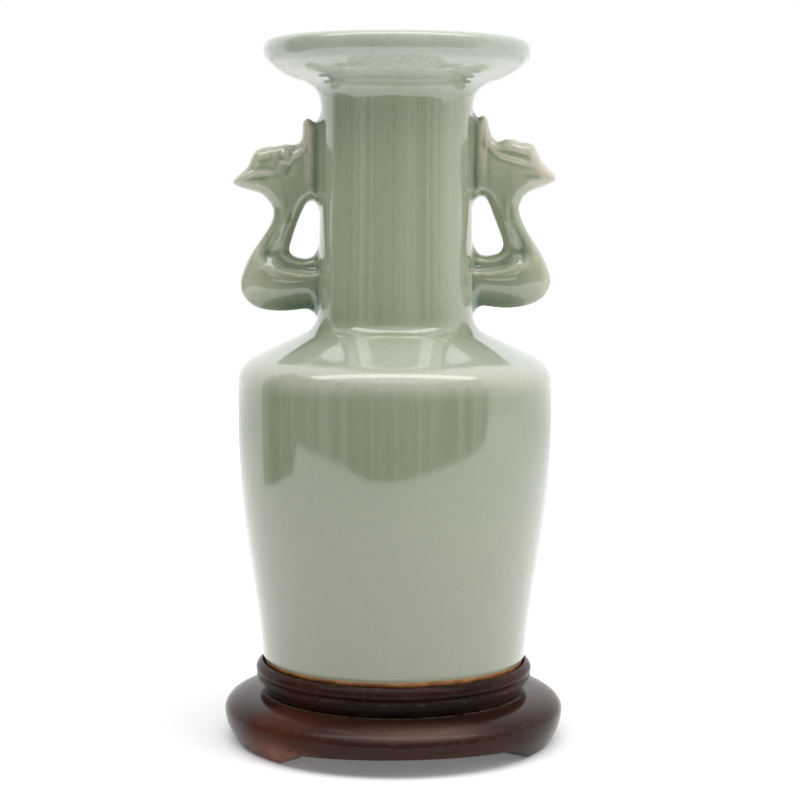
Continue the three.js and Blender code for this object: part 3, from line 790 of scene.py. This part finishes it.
RIGHT_OUTLINE = [
    (26, 174.0), (35.8, 174.1), (40.6, 173.5), (45.9, 173.3), (52.3, 174.1), (57.7, 176.2), (60.9, 179.6),
    (62.1, 183.4), (61.7, 186.6), (59.8, 191.4), (57.2, 196.2), (53.4, 202.0), (50.4, 207.7), (49.2, 212.0),
    (49.5, 214.8), (51.3, 218.0), (54.5, 220.1),
    (58.8, 221.7), (62.3, 223.2), (63.6, 224.7), (62.5, 226.6), (59.8, 229.2), (57.2, 232.4), (55.6, 236.1),
    (53.9, 238.1), (50.2, 238.5), (47.0, 239.6), (43.8, 239.8), (40.9, 238.8), (38.7, 240.1), (37.4, 242.5),
    (36.6, 245.7), (35.8, 248.1), (34.4, 248.9), (33.0, 247.8), (31.4, 248.5), (29.6, 249.0), (26, 249.2),
    (26, 217.2), (31.8, 217.2), (34.2, 217.7), (36.3, 216.9), (37.9, 214.3), (40.0, 209.0), (42.2, 203.6),
    (43.6, 199.4), (43.4, 196.7), (41.7, 194.6), (37.4, 193.5), (33.6, 194.0), (31.2, 195.8), (26, 196.4),
]
# How the bird's side is rounded at some places: reach, height, half thickness, width of the rounded edge
STATIONS = [
    (30, 190, 8.2, 9.0), (45, 189, 8.0, 8.2), (57, 191, 7.4, 7.2), (30, 177, 6.8, 10.8),
    (46, 176, 6.2, 11.6), (56, 178, 5.8, 11.6), (47, 206, 5.2, 5.6), (46, 226, 6.3, 4.0),
    (59, 225, 5.0, 4.2), (35, 243, 4.8, 3.2), (32, 228, 6.2, 4.4),
]
STATION_REACH = 8.0
STATION_FLOOR = 1e-9
EDGE_SQUARENESS = 2.05
MOULD_STEP = 0.33
MOULD_MARGIN = 3.0
HALF_DEPTH = 12.6
GLAZE_THICKNESS = 0.4
GLAZE_SOFTENING = 2
FADE_SHARE = 0.28
SLIP_FILLET = 4.4
SINK = 0.13
ROOT_DEPTH = 2.5
SLIP_RUN = 0.6
CLOSED_LAYERS = 2
# The glaze on a bird: its film on flat places, the bend that counts as flat, how strongly hollows and
# ridges change it, how far it levels out, and how it pools under the breast, which also paints the shade
# there
BIRD_FILM = 0.53
FLAT_BEND = 0.02
HOLLOW_HOLD = 0.22
RIDGE_HOLD = 0.36
FILM_LEVELLING = 8
LOW_BREAST = 181.0
LOW_BREAST_RUN = 6.0
LOW_BREAST_POOL_AND_SHADE = 0.38

# Relief lines on both birds: how far each stands out or is cut in, its half-width, and its points
RELIEF = [
    # Hollow where the crest runs down the neck, and the ribs of the crest beside it
    (-1.6, 1.6, [(30.6, 262.0), (30.8, 244.0), (31.0, 232.0), (31.2, 210.0)]),
    (0.40, 0.8, [(34.0, 250.0), (33.8, 240.0), (33.6, 230.0), (33.8, 220.0)]),
    (0.35, 0.7, [(35.9, 248.0), (35.8, 239.0), (35.4, 230.0), (35.6, 221.0)]),
    (0.25, 0.45, [(32.5, 240.0), (32.3, 230.0), (32.5, 221.0)]),
    (0.25, 0.45, [(34.8, 239.0), (34.5, 229.0), (34.8, 221.5)]),
    # Feathers down the bird's neck
    (0.28, 0.8, [(44.6, 220.0), (44.4, 211.2), (45.2, 206.4), (47.4, 202.0), (49.6, 195.4)]),
    (0.28, 0.6, [(41.4, 216.4), (43.0, 208.6), (44.6, 203.4), (46.8, 197.0)]),
    (0.22, 0.45, [(43.0, 214.0), (43.7, 207.4), (45.4, 202.2), (47.4, 198.4)]),
    (0.22, 0.45, [(46.6, 209.0), (48.0, 203.2), (50.6, 197.8), (53.0, 193.4)]),
    (-0.30, 1.2, [(46.8, 216.8), (46.8, 208.2), (49.4, 202.0), (51.8, 196.2)]),
    # Edge beside the gap, the lip below it, and the ribs of the wing
    (0.40, 0.8, [(34.2, 220.4), (38.0, 214.6), (41.0, 207.6), (43.8, 200.8), (44.6, 196.0)]),
    (0.60, 1.1, [(45.6, 198.6), (44.0, 194.4), (39.4, 191.9), (34.0, 192.0), (29.0, 194.0)]),
    (0.30, 0.8, [(55.0, 191.0), (48.6, 188.4), (42.0, 187.6), (36.0, 186.9), (29.0, 187.4)]),
    (0.25, 0.5, [(52.8, 188.8), (46.4, 186.8), (40.0, 186.3), (31.4, 187.2)]),
    (0.22, 0.5, [(52.0, 187.0), (46.0, 185.3), (40.0, 185.0), (31.8, 185.8)]),
]
LEFT_RELIEF = RELIEF + [
    # Comb, upper edge of the beak, the hollow between comb and eye, and the lower beak
    (0.65, 1.1, [(34.6, 240.6), (37.2, 235.9), (40.0, 234.0), (42.8, 232.4), (45.0, 231.2), (46.6, 227.6)]),
    (0.55, 1.0, [(44.2, 228.4), (48.2, 227.6), (51.6, 227.9), (55.6, 227.3), (60.0, 226.2), (66.0, 224.4)]),
    (-0.50, 1.2, [(37.4, 239.0), (39.4, 237.6), (41.2, 236.4)]),
    (-0.45, 1.2, [(40.6, 231.0), (42.2, 228.6), (43.0, 226.0)]),
    (-0.35, 1.3, [(62.4, 223.2), (56.0, 225.0), (49.0, 225.2)]),
    (0.25, 0.45, [(36.0, 241.0), (38.6, 237.6), (41.4, 237.3), (46.0, 237.0), (51.0, 236.0)]),
]
RIGHT_RELIEF = RELIEF + [
    # Three locks of the comb, and the lower beak
    (0.60, 1.0, [(34.8, 240.8), (38.0, 236.2), (41.5, 233.6), (45.5, 232.2), (50.0, 231.0), (55.6, 228.8)]),
    (0.50, 0.9, [(35.8, 242.0), (39.8, 237.8), (43.4, 236.5), (47.6, 235.9), (51.8, 234.6), (55.4, 233.6)]),
    (-0.22, 0.9, [(39.0, 236.2), (44.0, 234.7), (49.0, 233.8), (54.6, 232.0)]),
    (0.40, 0.8, [(40.0, 239.4), (44.4, 238.9), (49.4, 237.4), (54.4, 236.4)]),
    (0.25, 0.45, [(37.8, 240.0), (42.4, 237.5), (47.0, 237.0), (53.6, 235.4)]),
    (0.25, 0.45, [(37.4, 238.6), (41.6, 235.3), (46.2, 234.4), (53.0, 232.8)]),
    (-0.30, 1.2, [(61.4, 223.4), (56.0, 224.8), (49.0, 225.2)]),
]
# Upper edge of the wing, where the thick breast slopes down to the thin neck: heights at some reaches, how
# far the slope drops, where it ends farther out, how wide it is at the vase and farther out, the
# heights over which it fades upwards, and how often it is softened
WING_REACH = [26, 32, 38, 44, 48, 52, 60]
WING_HEIGHT = [188.0, 187.6, 188.0, 188.9, 189.5, 190.0, 190.4]
WING_DROP = 3.6
WING_END = [51, 56]
WING_SLOPE_REACH = [43, 47.5]
WING_SLOPE_WIDTH = [1.6, 4.8]
WING_FADE = [196, 207]
WING_SOFTENING = 4
# Raised eye and brow: place, radius along and across, height, depth of the groove round it. The groove's
# place and width are shares of the radius. On the right bird neither shows
BEAD_GROOVE = (1.2, 0.3)
LEFT_BEADS = [(43.4, 234.8, 1.9, 1.9, 0.42, 0.18), (52.2, 233.9, 2.6, 1.8, 0.15, 0.14)]
RIGHT_BEADS = []
# Where the mould's sharp parts drew the glaze thin, or it gathered: reach, height, how much thinner. The
# spots on the outer breast also paint a sheen, and those low on the breast also paint shade
LEFT_THIN_AND_LIGHT = [
    (35, 240, 0.18), (52, 234, 0.08), (60, 226, 0.08), (56, 182, 0.22), (46, 208, -0.14), (40, 174, -0.22),
]
RIGHT_THIN_AND_LIGHT = [
    (35, 240, 0.26), (48, 234, 0.20), (62, 225, 0.26), (57, 183, 0.20), (46, 208, -0.12), (41, 174, -0.16),
]


def smooth_line(points, closed, steps=8):
    """A curve through the points (Catmull-Rom)."""
    p = np.array(points, float)
    ids = np.arange(len(p) if closed else len(p) - 1)

    def beside(shift):
        return p[(ids + shift) % len(p)] if closed else p[np.clip(ids + shift, 0, len(p) - 1)]

    before, here, after, later = (beside(shift) for shift in (-1, 0, 1, 2))
    t = np.linspace(0, 1, steps, endpoint=False)[:, None, None]
    run = (
        2 * here
        + (after - before) * t
        + (2 * before - 5 * here + 4 * after - later) * t**2
        + (3 * here - before - 3 * after + later) * t**3
    ) / 2
    run = run.transpose(1, 0, 2).reshape(-1, 2)
    return np.concatenate([run, run[:1] if closed else p[-1:]])


def nearest_on(line_points, u, z):
    """Distance from each (u, z) to a line, and the share of the line that lies before that place."""
    step = np.linalg.norm(np.diff(line_points, axis=0), axis=1)
    start = np.concatenate([[0], np.cumsum(step)])
    distance = np.full(u.shape, np.inf)
    along = np.zeros(u.shape)
    for i, ((au, az), (bu, bz)) in enumerate(zip(line_points[:-1], line_points[1:])):
        du, dz = bu - au, bz - az
        t = np.clip(((u - au) * du + (z - az) * dz) / step[i] ** 2, 0, 1)
        away = np.hypot(u - au - t * du, z - az - t * dz)
        nearer = away < distance
        distance = np.where(nearer, away, distance)
        along = np.where(nearer, start[i] + t * step[i], along)
    return distance, along / start[-1]


def inside(loop, u, z):
    """Whether each (u, z) lies inside a closed line."""
    within = np.zeros(u.shape, bool)
    for (au, az), (bu, bz) in zip(loop[:-1], loop[1:]):
        if az != bz:
            crosses = (az > z) != (bz > z)
            within ^= crosses & (u < (bu - au) * (z - az) / (bz - az) + au)
    return within


def joined(a, b, reach):
    """The smaller of two distances, rounded where they meet."""
    return np.minimum(a, b) - np.maximum(reach - np.abs(a - b), 0) ** 2 / (4 * reach)


def settled(values):
    """Values on a grid, softened as the glaze softens the relief under it."""
    for _ in range(GLAZE_SOFTENING):
        for axis in (0, 1):
            values = (np.roll(values, 1, axis) + 2 * values + np.roll(values, -1, axis)) / 4
    return values


def skin_of(field, origin, step):
    """Closed faces on the zero level of a sampled field, one corner in each cell that it crosses."""
    solid = field < 0
    shape = np.array(field.shape) - 1
    total = np.zeros((*shape, 3))
    count = np.zeros(shape)
    corners = [np.array(c) for c in np.ndindex(2, 2, 2)]

    def shifted(values, corner):
        return values[tuple(slice(c, c + n) for c, n in zip(corner, shape))]

    for a in corners:
        for axis in range(3):
            if a[axis] == 0:
                b = a + np.eye(3, dtype=int)[axis]
                low, high = shifted(field, a), shifted(field, b)
                crosses = shifted(solid, a) != shifted(solid, b)
                t = np.where(crosses, low / np.where(crosses, low - high, 1), 0)
                total += np.where(crosses[..., None], a + t[..., None] * (b - a), 0)
                count += crosses
    used = count > 0
    number = np.full(shape, -1)
    number[used] = np.arange(used.sum())
    cells = np.argwhere(used)
    points = origin + step * (cells + total[used] / count[used][:, None])
    faces = []
    for axis in range(3):
        first, second = (axis + 1) % 3, (axis + 2) % 3
        core = (slice(1, -1),) * 3
        crosses = np.zeros(solid.shape, bool)
        crosses[core] = (solid != np.roll(solid, -1, axis))[core]
        at = np.argwhere(crosses)
        steps = np.eye(3, dtype=int)
        ring = [at - steps[first] - steps[second], at - steps[second], at, at - steps[first]]
        quads = np.stack([number[tuple(r.T)] for r in ring], 1)
        outward = solid[tuple(at.T)]
        faces.append(np.where(outward[:, None], quads, quads[:, ::-1]))
    used_corners, faces = np.unique(np.concatenate(faces), return_inverse=True)
    return points[used_corners], faces.reshape(-1, 4)


def bird_handle(name, side, shift, lift, outline, relief, beads, thin_and_light_spots):
    """One handle. Reach u runs out from the vase's axis, to the right for side 1 and the left for -1."""
    loop = smooth_line(outline, True)
    low = loop.min(0) - MOULD_MARGIN
    high = loop.max(0) + MOULD_MARGIN
    u_axis = np.arange(low[0], high[0], MOULD_STEP)
    y_axis = np.arange(-HALF_DEPTH, HALF_DEPTH + MOULD_STEP, MOULD_STEP)
    z_axis = np.arange(low[1], high[1], MOULD_STEP)
    u, z = np.meshgrid(u_axis, z_axis, indexing="ij")
    depth = np.where(inside(loop, u, z), 1, -1) * nearest_on(loop, u, z)[0] + GLAZE_THICKNESS

    def near(su, sz):
        return np.exp(-((u - su) ** 2 + (z - sz) ** 2) / (2 * STATION_REACH**2)) + STATION_FLOOR

    weights = np.array([near(su, sz) for su, sz, _, _ in STATIONS])
    weights /= weights.sum(0)
    half = np.tensordot([thick for _, _, thick, _ in STATIONS], weights, 1)
    edge = np.tensordot([width for _, _, _, width in STATIONS], weights, 1)
    for rise, width, points in relief:
        away, along = nearest_on(smooth_line(points, False), u, z)
        fade = np.clip(np.minimum(along, 1 - along) / FADE_SHARE, 0, 1)
        half += rise * np.exp(-((away / width) ** 2)) * fade
    slope_width = np.interp(u, WING_SLOPE_REACH, WING_SLOPE_WIDTH)
    up_slope = np.clip((z - np.interp(u, WING_REACH, WING_HEIGHT)) / slope_width, 0, 1)
    for _ in range(WING_SOFTENING):
        up_slope = settled(up_slope)
    wing_drop = WING_DROP * np.interp(u, WING_END, [1, 0]) * np.interp(z, WING_FADE, [1, 0])
    half -= settled(wing_drop) * up_slope
    groove_at, groove_width = BEAD_GROOVE
    for bu, bz, across, upright, rise, groove in beads:
        out = np.hypot((u - bu) / across, (z - bz) / upright)
        half += rise * np.sqrt(np.clip(1 - out**2, 0, 1))
        half -= groove * np.exp(-(((out - groove_at) / groove_width) ** 2))
    half = settled(half)

    # The bird's body, and a fillet of slip and glaze where it meets the neck
    rim = 1 - np.minimum(settled(depth) / edge, 1)
    y = y_axis[None, :, None]
    power = EDGE_SQUARENESS
    round_out = rim[:, None, :] ** power + np.abs(y / half[:, None, :]) ** power
    bird = (round_out ** (1 / power) - 1) * edge[:, None, :]
    from_neck = np.hypot(u[:, None, :] + shift, y) - neck_radius(z[:, None, :] + lift)
    whole = joined(bird, from_neck + SINK, SLIP_FILLET)
    whole = np.maximum(whole, -(from_neck + ROOT_DEPTH))
    whole = np.maximum(whole, np.abs(y) - HALF_DEPTH + 1.5 * MOULD_STEP)
    whole = np.maximum(whole, bird - SLIP_FILLET - ROOT_DEPTH)
    whole[:, :, :CLOSED_LAYERS] = MOULD_STEP
    whole[:, :, -CLOSED_LAYERS:] = MOULD_STEP
    origin = np.array((u_axis[0] + shift, y_axis[0], z_axis[0] + lift))
    points, faces = skin_of(whole, origin, MOULD_STEP)
    lean = np.clip((points[:, 2] - neck_foot) / (LIP_TOP - neck_foot), 0, 1)
    reach = points[:, 0].copy()
    points[:, 0] = reach * side + NECK_LEAN * lean**2 * (3 - 2 * lean)
    if side < 0:
        faces = faces[:, ::-1]
    mesh = bpy.data.meshes.new(name)
    mesh.from_pydata(points * MM, [], faces.tolist())
    mesh.shade_smooth()
    mesh.materials.append(glaze)

    # The glaze draws off the ridges and pools in the hollows
    normals = np.zeros(len(points) * 3)
    mesh.vertices.foreach_get("normal", normals)
    normals = normals.reshape(-1, 3)
    pairs = np.zeros(len(mesh.edges) * 2, int)
    mesh.edges.foreach_get("vertices", pairs)
    a, b = pairs.reshape(-1, 2).T
    gap = points[b] - points[a]
    far = np.maximum((gap**2).sum(1), MOULD_STEP**2 / 4)
    count = np.bincount(a, minlength=len(points)) + np.bincount(b, minlength=len(points))

    def mean_of(at_a, at_b):
        return (np.bincount(a, at_a, len(points)) + np.bincount(b, at_b, len(points))) / count

    bending = mean_of(-2 * (gap * normals[a]).sum(1) / far, 2 * (gap * normals[b]).sum(1) / far)
    bending = np.clip(bending, -1, 1)
    for _ in range(FILM_LEVELLING):
        bending = (bending + mean_of(bending[b], bending[a])) / 2
    hold = np.where(bending < 0, HOLLOW_HOLD, RIDGE_HOLD)
    film = BIRD_FILM - FILM_RANGE * np.tanh((bending - FLAT_BEND) / hold)
    # Thinner or thicker glaze at the listed spots; on the breasts this also paints a sheen and shade
    for su, sz, thinner in thin_and_light_spots:
        away = (reach - su) ** 2 + (points[:, 2] - lift - sz) ** 2
        film -= thinner * np.exp(-away / (2 * STATION_REACH**2))
    off_neck = np.hypot(reach, points[:, 1]) - neck_radius(points[:, 2])
    film = PLAIN_FILM + (film - PLAIN_FILM) * np.clip(off_neck / SLIP_RUN, 0, 1)
    # Thicker, darker glaze low on the breast: pooling, and also painted shade under the breast
    low = np.clip((LOW_BREAST - points[:, 2]) / LOW_BREAST_RUN, 0, 1)
    film += LOW_BREAST_POOL_AND_SHADE * low
    mesh.attributes.new("film", "FLOAT", "POINT").data.foreach_set("value", film)
    return placed(name, mesh)


# The right bird was stuck on a little higher and closer in than the left one
RIGHT_LIFT = (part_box("right_handle")[0].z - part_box("left_handle")[0].z) / MM
LEFT_SHIFT = 0.5
RIGHT_SHIFT = -0.4
left_bird = bird_handle(
    "left_bird_handle", -1, LEFT_SHIFT, 0.0, LEFT_OUTLINE, LEFT_RELIEF, LEFT_BEADS, LEFT_THIN_AND_LIGHT
)
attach(left_bird, "vase")
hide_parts("left_handle", "left_upper_pad", "left_lower_pad")
right_bird = bird_handle(
    "right_bird_handle", 1, RIGHT_SHIFT, RIGHT_LIFT, RIGHT_OUTLINE, RIGHT_RELIEF, RIGHT_BEADS, RIGHT_THIN_AND_LIGHT
)
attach(right_bird, "vase")
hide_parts("right_handle", "right_upper_pad", "right_lower_pad")

# Studio: a white table top that ends half a metre in front of the vase, a bright ceiling with a wide,
# shallow soft box, a soft box at the right, white walls at the sides and behind, and a dim room with
# shelves in front. The walls and the room show only as reflections.
IMAGE_WIDTH = 800
FOCAL_PIXELS = 1980
CAMERA_PLACE = (0.0017, -0.7939, 0.2152)
CAMERA_DOWN = 5.64
CAMERA_ROLL = -0.27
TABLE_REACH = 6.0
ROOM_LEFT = -112
ROOM_RIGHT = 96
ROOM_FADE = 36
ROOM_TOP = (0.80, 0.60)
SENSOR_WIDTH = 36
BLACK = (0, 0, 0, 1)
WHITE = (1, 1, 1, 1)
# Glow of the table as it is seen, near the vase and far from it, and the distances over which near turns
# to far, and to white for the camera
NEAR_GLOW = (0.16, 0.16, 0.16, 1)
FAR_GLOW = (0.85, 0.85, 0.85, 1)
FAR_FROM = (0.90, 2.00)
WHITE_FROM = (0.20, 0.50)
# Light of the world from above and from below, and the shelves' dark and pale bands
FILL_ABOVE = (0.18, 0.18, 0.18, 1)
FILL_BELOW = (1.10, 1.10, 1.10, 1)
SHELF_DARK = (0.03, 0.035, 0.03, 1)
SHELF_PALE = (0.48, 0.49, 0.46, 1)

camera = placed("camera", bpy.data.cameras.new("camera"))
camera.data.sensor_width = SENSOR_WIDTH
camera.data.lens = FOCAL_PIXELS / IMAGE_WIDTH * SENSOR_WIDTH
camera.location = CAMERA_PLACE
camera.rotation_euler = (math.radians(90 - CAMERA_DOWN), math.radians(CAMERA_ROLL), 0)
bpy.context.scene.camera = camera
bpy.context.scene.view_settings.view_transform = "Standard"

table_mesh = bpy.data.meshes.new("table_top")
# Its front edge is uneven, because the glaze mirrors it as the lower edge of the dark room
table_corners = [
    (-0.500, 0.202, 0), (-0.575, -0.143, 0), (-0.810, -0.260, 0), (-0.620, -0.420, 0), (-0.400, -0.520, 0),
    (-0.150, -0.495, 0), (0.170, -0.535, 0), (0.380, -0.520, 0), (0.580, -0.440, 0), (0.820, -0.366, 0),
    (1.220, -0.445, 0), (TABLE_REACH, -1.6, 0), (TABLE_REACH, TABLE_REACH, 0),
    (-TABLE_REACH, TABLE_REACH, 0), (-TABLE_REACH, 0.404 * TABLE_REACH, 0),
]
table_mesh.from_pydata(table_corners, [], [range(len(table_corners))])
table = placed("table_top", table_mesh)
paper, sheet, tree = new_material("white_paper")
sheet.inputs["Base Color"].default_value = (0.82, 0.82, 0.82, 1)
sheet.inputs["Roughness"].default_value = 0.9
sheet.inputs["Specular IOR Level"].default_value = 0.0
sheet.inputs["Emission Strength"].default_value = 1.0
ray = tree.node("ShaderNodeLightPath")
seen = ray.math("MAXIMUM", ray.out("Is Camera Ray"), ray.out("Is Glossy Ray"))
seen = ray.math("MAXIMUM", seen, ray.out("Is Transmission Ray"))
spot = ray.node("ShaderNodeTexCoord", output="Object")
from_vase = spot.node("ShaderNodeVectorMath", {"operation": "LENGTH"}, {0: spot}, "Value")
glow = mixed(seen, BLACK, NEAR_GLOW)
glow = mixed(seen * eased(from_vase, *FAR_FROM), glow, FAR_GLOW)
glow = mixed(ray.out("Is Camera Ray") * eased(from_vase, *WHITE_FROM), glow, WHITE)
glow.into(sheet, "Emission Color")
table_mesh.materials.append(paper)

world = bpy.data.worlds.new("studio")
world.use_nodes = True
bpy.context.scene.world = world
sky = world.node_tree.nodes["Background"]
ray = Wire(world.node_tree).node("ShaderNodeLightPath")
way = ray.node("ShaderNodeTexCoord", output="Generated")
ahead = way.node("ShaderNodeSeparateXYZ", {}, {0: way}, "Y")
bearing = way.math("ARCTAN2", ahead.out("X"), ahead * -1)
upward = ahead.out("Z")
room = eased(bearing, math.radians(ROOM_LEFT - 1), math.radians(ROOM_LEFT + 1))
room = room * eased(bearing, math.radians(ROOM_RIGHT), math.radians(ROOM_RIGHT - ROOM_FADE))
room = room * eased(upward, *ROOM_TOP)
shelves = noise(ahead.node("ShaderNodeCombineXYZ", {}, {"X": bearing}), scale=5.0, detail=4, seed=18)
dim = mixed(eased(shelves, 0.46, 0.60), SHELF_DARK, SHELF_PALE)
fill = mixed(eased(upward, 0.0, -0.1), FILL_ABOVE, FILL_BELOW)
walls = mixed(room, WHITE, dim)
seen = ray.math("MAXIMUM", ray.out("Is Glossy Ray"), ray.out("Is Transmission Ray"))
backdrop = mixed(seen, fill, walls)
backdrop = mixed(ray.out("Is Camera Ray"), backdrop, WHITE)
backdrop.into(sky, "Color")

# Lamps: name, place, turn in degrees, width and height in metres, watts, and whether it shows in reflections
LAMPS = [
    ("ceiling_bounce", (0.0, -0.05, 1.30), (0, 0, 0), (2.0, 1.8), 24.8, False),
    ("top_soft_box", (-0.02, -0.27, 1.25), (0, 0, 0), (2.10, 0.36), 5.8, True),
    ("right_soft_box", (1.00, -0.35, 0.62), (0, 68, -19), (1.2, 0.9), 4.5, False),
]
for name, place, turn, (width, height), power, mirrored in LAMPS:
    lamp = bpy.data.lights.new(name, "AREA")
    lamp.shape = "RECTANGLE"
    lamp.size = width
    lamp.size_y = height
    lamp.energy = power
    box = placed(name, lamp)
    box.location = place
    box.rotation_euler = [math.radians(angle) for angle in turn]
    box.visible_camera = False
    box.visible_glossy = mirrored
